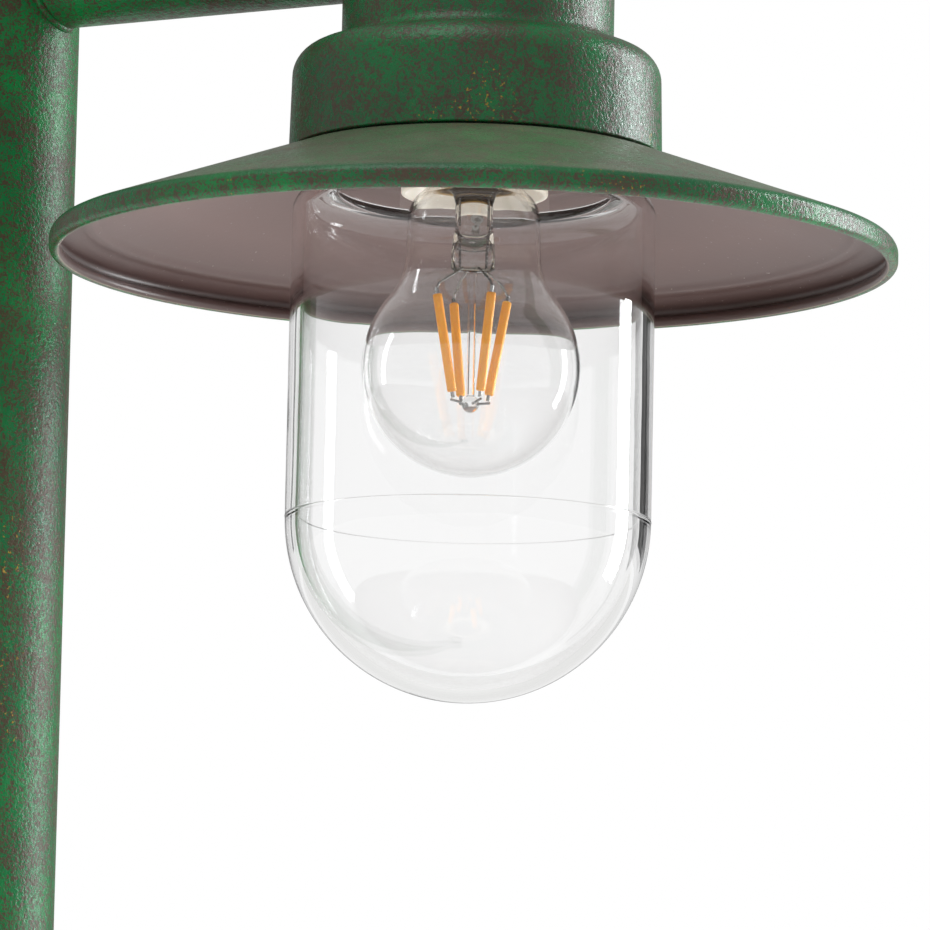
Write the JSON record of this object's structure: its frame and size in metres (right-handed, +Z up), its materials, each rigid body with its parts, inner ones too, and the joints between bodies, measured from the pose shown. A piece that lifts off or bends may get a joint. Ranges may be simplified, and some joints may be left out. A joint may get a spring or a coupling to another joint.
{
  "type": "street lamp post",
  "caption": "Round steel lamp post with a flanged base, inspection door and short side arm carrying a conical shade, clear well glass and screw-in filament bulb.",
  "frame": {"origin": "centre of the base plate's underside, on the pole's axis", "axes": "+Z up the pole, +X along the arm towards the lantern"},
  "size_m": [0.3894, 0.2328, 2.178],
  "materials": {
    "arm_grub_screws": "plain",
    "arm_tube": "weathered green paint with brown specks",
    "base_cover": "weathered green paint",
    "base_cover_screw": "zinc plated",
    "base_gussets": "weathered green paint",
    "base_plate": "weathered green paint",
    "bracket_screws": "zinc plated",
    "bulb_cap": "plain",
    "bulb_cap_insulator": "black",
    "bulb_centre_rod": "clear",
    "bulb_driver": "circuit board",
    "bulb_envelope": "clear",
    "bulb_filaments": "amber silicone",
    "bulb_stem": "clear",
    "bulb_support_wires": "bright wire",
    "bulb_tip_contact": "tinned",
    "cable_grommet": "matt",
    "centre_contact": "plain",
    "door_frame": "weathered green paint",
    "door_gasket": "matt",
    "door_screws": "stainless",
    "earth_stud": "plain",
    "glass_gasket": "matt",
    "holder_bracket": "zinc plated",
    "holder_nipple": "plain",
    "holder_nut": "plain",
    "inspection_door": "weathered green paint",
    "lamp_lead": "matt sheath",
    "lampholder_body": "cream",
    "lantern_casting": "weathered green paint over a casting",
    "pole_cap": "weathered green paint",
    "pole_cap_screw": "zinc plated",
    "pole_tube": "weathered green paint with brown specks",
    "screw_shell": "plain",
    "shade": "green paint above, mauve brown below",
    "shade_gasket": "matt",
    "shade_screws": "plain",
    "terminal_block": "matt moulding",
    "terminal_rail": "zinc plated",
    "terminal_screws": "plain",
    "well_glass": "clear"
  },
  "bodies": {
    "post": {"arm_grub_screws": "arm_grub_screws", "arm_tube": "arm_tube", "base_gussets": "base_gussets", "base_plate": "base_plate", "bracket_screws": "bracket_screws", "cable_grommet": "cable_grommet", "centre_contact": "centre_contact", "door_frame": "door_frame", "earth_stud": "earth_stud", "glass_gasket": "glass_gasket", "holder_bracket": "holder_bracket", "holder_nipple": "holder_nipple", "holder_nut": "holder_nut", "lamp_lead": "lamp_lead", "lampholder_body": "lampholder_body", "lantern_casting": "lantern_casting", "pole_cap": "pole_cap", "pole_cap_screw": "pole_cap_screw", "pole_tube": "pole_tube", "screw_shell": "screw_shell", "shade": "shade", "shade_gasket": "shade_gasket", "shade_screws": "shade_screws", "terminal_block": "terminal_block", "terminal_rail": "terminal_rail", "terminal_screws": "terminal_screws"},
    "base_cover": {"base_cover": "base_cover", "base_cover_screw": "base_cover_screw"},
    "door": {"inspection_door": "inspection_door", "door_gasket": "door_gasket", "door_screws": "door_screws"},
    "glass": {"well_glass": "well_glass"},
    "bulb": {"bulb_cap": "bulb_cap", "bulb_cap_insulator": "bulb_cap_insulator", "bulb_centre_rod": "bulb_centre_rod", "bulb_driver": "bulb_driver", "bulb_envelope": "bulb_envelope", "bulb_filaments": "bulb_filaments", "bulb_stem": "bulb_stem", "bulb_support_wires": "bulb_support_wires", "bulb_tip_contact": "bulb_tip_contact"}
  },
  "joints": [
    {"name": "glass_removal", "type": "slide", "parent": "post", "child": "glass", "axis": [0, 0, -1], "range_m": [0, 0.14]},
    {"name": "bulb_removal", "type": "slide", "parent": "post", "child": "bulb", "axis": [0, 0, -1], "range_m": [0, 0.03]},
    {"name": "door_removal", "type": "slide", "parent": "post", "child": "door", "axis": [-1, 0, 0], "range_m": [0, 0.06]},
    {"name": "base_cover_lift", "type": "slide", "parent": "post", "child": "base_cover", "axis": [0, 0, 1], "range_m": [0, 0.25]}
  ]
}
